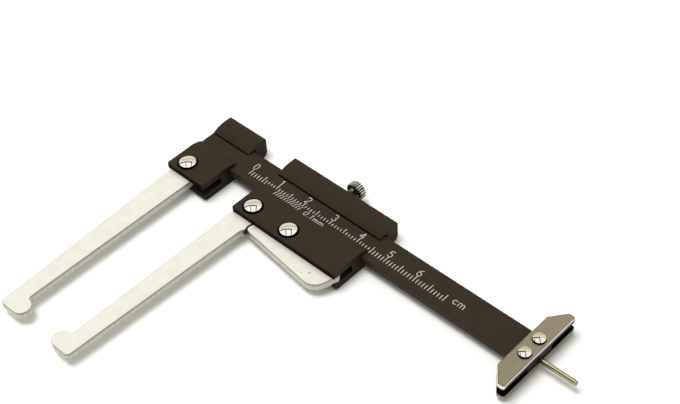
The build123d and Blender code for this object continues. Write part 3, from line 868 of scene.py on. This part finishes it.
class CALIPER_OT_scale(bpy.types.Operator):
    """Millimetre scale, digits and unit on the beam"""

    bl_idname = "caliper.scale"
    bl_label = "Engrave beam scale"

    LAST = 70
    UNIT_PLACE = 72.2 * MM
    UNIT_ROW = -1.3 * MM
    DIGIT_SHIFT = 0.15  # how far the digits stand left of their ticks, in millimetres
    HALF_DIGIT = 0.3  # half a digit's width, as a share of its height

    def execute(self, context):
        marks = context.scene.caliper_marks
        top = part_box("beam")[1].z
        cutter = Engraver(lambda y: top, marks.line_width)
        for count in range(self.LAST + 1):
            x = marks.zero_place + count * MM
            reach = marks.long_tick if count % 5 == 0 else marks.short_tick
            cutter.line([(x, marks.base_row), (x, marks.base_row + reach)])
        size = marks.digit_height
        for digit in range(self.LAST // 10):
            left = marks.zero_place + (digit * 10 - self.DIGIT_SHIFT) * MM - self.HALF_DIGIT * size
            cutter.text(str(digit), left, marks.digit_foot, size)
        cutter.text("cm", marks.zero_place + self.UNIT_PLACE, self.UNIT_ROW, size)
        piece("beam_scale", cutter.mesh, filled_engraving(marks.fill), "base")
        return {"FINISHED"}


class CALIPER_OT_vernier(bpy.types.Operator):
    """Vernier ticks and their unit on the slider's sloping lip"""

    bl_idname = "caliper.vernier"
    bl_label = "Engrave vernier"

    TICKS = 11
    # The lip's edge over the beam, the row where its slope ends, and the edge's height over the resting face
    LIP_TIP = -1.9 * MM
    LIP_FLAT = -5.8 * MM
    EDGE_HEIGHT = 5.16 * MM
    # Letters of the unit, their places from the slider's left end and their sizes in millimetres
    WORDS = (("0", 16.24, 2.0), (".", 17.96, 2.0), ("1", 18.31, 2.0), ("m", 19.9, 1.78), ("m", 21.9, 1.78))
    WORDS_ROW = -4.45 * MM
    WORDS_WIDTH = 0.19 * MM

    def lip(self, y):
        """Height of the lip's arc, which meets the slider's top without a corner."""
        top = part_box("slider_body")[1].z
        run = self.LIP_TIP - self.LIP_FLAT
        drop = top - self.EDGE_HEIGHT
        radius = (run * run + drop * drop) / (2 * drop)
        over = max(0.0, min(run, y - self.LIP_FLAT))
        return top - radius + math.sqrt(radius * radius - over * over)

    def execute(self, context):
        marks = context.scene.caliper_marks
        slider_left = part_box("slider_body")[0].x
        cutter = Engraver(self.lip, marks.line_width)
        for tick in range(self.TICKS):
            x = slider_left + marks.vernier_place + tick * marks.vernier_step
            start = self.LIP_TIP - marks.line_width / 2
            cutter.line([(x, start), (x, start - marks.vernier_length)])
        cutter.width = self.WORDS_WIDTH
        for letter, place, size in self.WORDS:
            cutter.text(letter, slider_left + place * MM, self.WORDS_ROW, size * MM)
        piece("vernier_marks", cutter.mesh, filled_engraving(marks.fill), "slider")
        return {"FINISHED"}


class CALIPER_OT_stage(bpy.types.Operator):
    """White floor, room light, a softbox, the cards that the metal reflects, and the camera"""

    bl_idname = "caliper.stage"
    bl_label = "Set stage"

    AIM = Vector((0.04, -0.01, 0.0))
    UNDER = 0.02 * MM
    CARD_STEP = math.radians(4)
    PAPER_TONE = (0.8, 0.8, 0.79, 1)
    # Distances from the object, in metres, from which the camera sees the paper turn white and then plain white
    WHITE_FROM, WHITE_AT = 0.25, 0.7

    # Name, colour, strength, angles over the floor away from the camera, angles to the sides, layer, lean left
    CARDS = (
        ("window", "#FFFFFF", 1.4, (57.5, 97), (-54, 60), 1, 0.25),
        ("window_sill", "#161514", 1.0, (51.5, 58), (-54, 11), 0, 0.25),
        ("window_bar", "#2A2826", 1.0, (57, 97), (-14.2, -11.2), 0, 0),
        ("window_post", "#161514", 1.0, (57, 97), (7.8, 11), 0, 0),
        ("cream_wall", "#F3F1E8", 1.2, (9, 53), (-60, 60), 2, 0),
        ("wall_band", "#E4DDCD", 1.0, (25, 37), (-24, 24), 1, 0),
        ("dark_ceiling", "#0E0D0C", 1.0, (96, 150), (-65, 65), 1, 0),
        ("dark_room", "#2A2926", 1.0, (-1, 8), (-70, 70), 1, 0),
    )

    def execute(self, context):
        stage = context.scene.caliper_stage
        self.floor(stage)
        self.room(context.scene, stage)
        self.softbox(context.scene, stage)
        for card in self.CARDS:
            self.card(stage, *card)
        self.camera(context.scene, stage)
        context.scene.view_settings.view_transform = "Standard"
        return {"FINISHED"}

    def seen(self, tree, rays):
        """1 for rays of the camera and of reflections, 0 for the rest."""
        feeds = {0: rays["Is Camera Ray"], 1: rays["Is Glossy Ray"]}
        return node(tree, "ShaderNodeMath", feeds, operation="MAXIMUM").outputs[0]

    def floor(self, stage):
        """Matt white sweep. Seen by the camera it is plain white, and it keeps the object's shadow."""
        mesh = bmesh.new()
        bmesh.ops.create_grid(mesh, x_segments=2, y_segments=2, size=stage.floor_size / 2)
        bmesh.ops.translate(mesh, verts=mesh.verts, vec=(0, 0, -self.UNDER))
        material, tree, output = blank_material("white_sweep_paper")
        rays = node(tree, "ShaderNodeLightPath").outputs
        feeds = {0: self.seen(tree, rays), 6: self.PAPER_TONE, 7: rgba([stage.paper] * 3)}
        paper = node(tree, "ShaderNodeMix", feeds, data_type="RGBA")
        shader = node(tree, "ShaderNodeBsdfDiffuse", {"Color": paper.outputs[2]})
        # Away from the object, where the lamp no longer reaches, the camera sees the paper as plain white
        here = node(tree, "ShaderNodeTexCoord").outputs["Object"]
        away = node(tree, "ShaderNodeVectorMath", {0: here, 1: self.AIM}, operation="DISTANCE").outputs["Value"]
        feeds = {"Value": away, "From Min": self.WHITE_FROM, "From Max": self.WHITE_AT}
        far = node(tree, "ShaderNodeMapRange", feeds).outputs[0]
        share = node(tree, "ShaderNodeMath", {0: far, 1: rays["Is Camera Ray"]}, operation="MULTIPLY")
        white = node(tree, "ShaderNodeEmission", {"Color": (1, 1, 1, 1), "Strength": 1.0})
        both = node(tree, "ShaderNodeMixShader", {0: share.outputs[0], 1: shader.outputs[0], 2: white.outputs[0]})
        tree.links.new(both.outputs[0], output.inputs[0])
        material.cycles.emission_sampling = "NONE"
        floor = placed("floor", mesh, material)

    def room(self, scene, stage):
        """White room: full white where the camera or a reflection sees it, a plain level elsewhere."""
        world = bpy.data.worlds.new("white_room")
        scene.world = world
        world.use_nodes = True
        tree = world.node_tree
        tree.nodes.clear()
        shown = self.seen(tree, node(tree, "ShaderNodeLightPath").outputs)
        soft = shaded(stage.ambient_colour, stage.ambient)
        light = node(tree, "ShaderNodeMix", {0: shown, 6: soft, 7: (1, 1, 1, 1)}, data_type="RGBA")
        glow = node(tree, "ShaderNodeBackground", {"Color": light.outputs[2], "Strength": 1.0})
        output = node(tree, "ShaderNodeOutputWorld")
        tree.links.new(glow.outputs[0], output.inputs[0])

    def softbox(self, scene, stage):
        """Softbox high over the camera's left, which the metal doesn't mirror."""
        lamp = bpy.data.lights.new("softbox", "AREA")
        lamp.shape = "SQUARE"
        lamp.size = stage.lamp_size
        lamp.energy = stage.lamp_power
        box = bpy.data.objects.new("softbox", lamp)
        scene.collection.objects.link(box)
        box.location = self.AIM + Vector(stage.lamp_from)
        box.rotation_euler = (box.location - self.AIM).to_track_quat("Z", "Y").to_euler()
        box.visible_glossy = False

    def card(self, stage, name, colour, strength, rise, swing, layer, lean):
        """Curved glowing card round the object, seen only in reflections."""
        away = Vector((-math.sin(stage.around), math.cos(stage.around), 0))
        aside = Vector((math.cos(stage.around), math.sin(stage.around), 0))
        reach = stage.card_distance * (1 + 0.05 * layer)
        low, high, left, right = (math.radians(angle) for angle in (*rise, *swing))
        rows = max(1, math.ceil((high - low) / self.CARD_STEP))
        columns = max(1, math.ceil((right - left) / self.CARD_STEP))
        mesh = bmesh.new()
        grid = []
        for i in range(rows + 1):
            line = []
            for k in range(columns + 1):
                turn = left + (right - left) * k / columns
                up = low + (high - low) * i / rows + lean * min(turn, 0)
                level = away * math.cos(up) + Vector((0, 0, math.sin(up)))
                line.append(mesh.verts.new(self.AIM + reach * (level * math.cos(turn) + aside * math.sin(turn))))
            grid.append(line)
        for near, far in zip(grid, grid[1:]):
            for k in range(columns):
                mesh.faces.new((near[k], near[k + 1], far[k + 1], far[k]))
        material, tree, output = blank_material(name)
        glow = node(tree, "ShaderNodeEmission", {"Color": rgba(linear(colour)), "Strength": strength})
        tree.links.new(glow.outputs[0], output.inputs[0])
        made = placed(name, mesh, material)
        made.visible_camera = False
        made.visible_diffuse = False
        made.visible_shadow = False
        made.visible_transmission = False

    def camera(self, scene, stage):
        """Camera at the photograph's viewing angle."""
        lens = bpy.data.cameras.new("camera")
        lens.lens = stage.lens
        lens.sensor_width = 36
        lens.clip_start = 0.01
        lens.clip_end = 20
        camera = bpy.data.objects.new("camera", lens)
        scene.collection.objects.link(camera)
        turn = Matrix.Rotation(stage.around, 4, "Z")
        lean = Matrix.Rotation(math.pi / 2 - stage.above, 4, "X")
        roll = Matrix.Rotation(stage.roll, 4, "Z")
        camera.matrix_world = Matrix.Translation(stage.place) @ turn @ lean @ roll
        scene.camera = camera


SETTINGS = {
    "caliper_marks": MarkSettings,
    "caliper_finish": FinishSettings,
    "caliper_rivets": RivetSettings,
    "caliper_screw": ScrewSettings,
    "caliper_stage": StageSettings,
}
STEPS = (
    CALIPER_OT_bodies,
    CALIPER_OT_legs,
    CALIPER_OT_depth_base,
    CALIPER_OT_rivets,
    CALIPER_OT_lip_dust,
    CALIPER_OT_inner_parts,
    CALIPER_OT_lock_screw,
    CALIPER_OT_scale,
    CALIPER_OT_vernier,
    CALIPER_OT_stage,
)


class CALIPER_PT_sidebar(bpy.types.Panel):
    """Steps and settings of the caliper"""

    bl_label = "Caliper"
    bl_idname = "CALIPER_PT_sidebar"
    bl_space_type = "VIEW_3D"
    bl_region_type = "UI"
    bl_category = "Caliper"

    def draw(self, context):
        for step in STEPS:
            self.layout.operator(step.bl_idname)
        for name in SETTINGS:
            settings = getattr(context.scene, name)
            box = self.layout.box()
            for field in settings.bl_rna.properties:
                if not field.is_readonly and field.identifier != "name":
                    box.prop(settings, field.identifier)


CLASSES = (*SETTINGS.values(), *STEPS, CALIPER_PT_sidebar)


def register():
    for cls in CLASSES:
        bpy.utils.register_class(cls)
    for name, group in SETTINGS.items():
        setattr(bpy.types.Scene, name, PointerProperty(type=group))


def unregister():
    for name in SETTINGS:
        delattr(bpy.types.Scene, name)
    for cls in reversed(CLASSES):
        bpy.utils.unregister_class(cls)


def main():
    register()
    for step in STEPS:
        group, name = step.bl_idname.split(".")
        getattr(getattr(bpy.ops, group), name)()


if __name__ == "__main__":
    main()
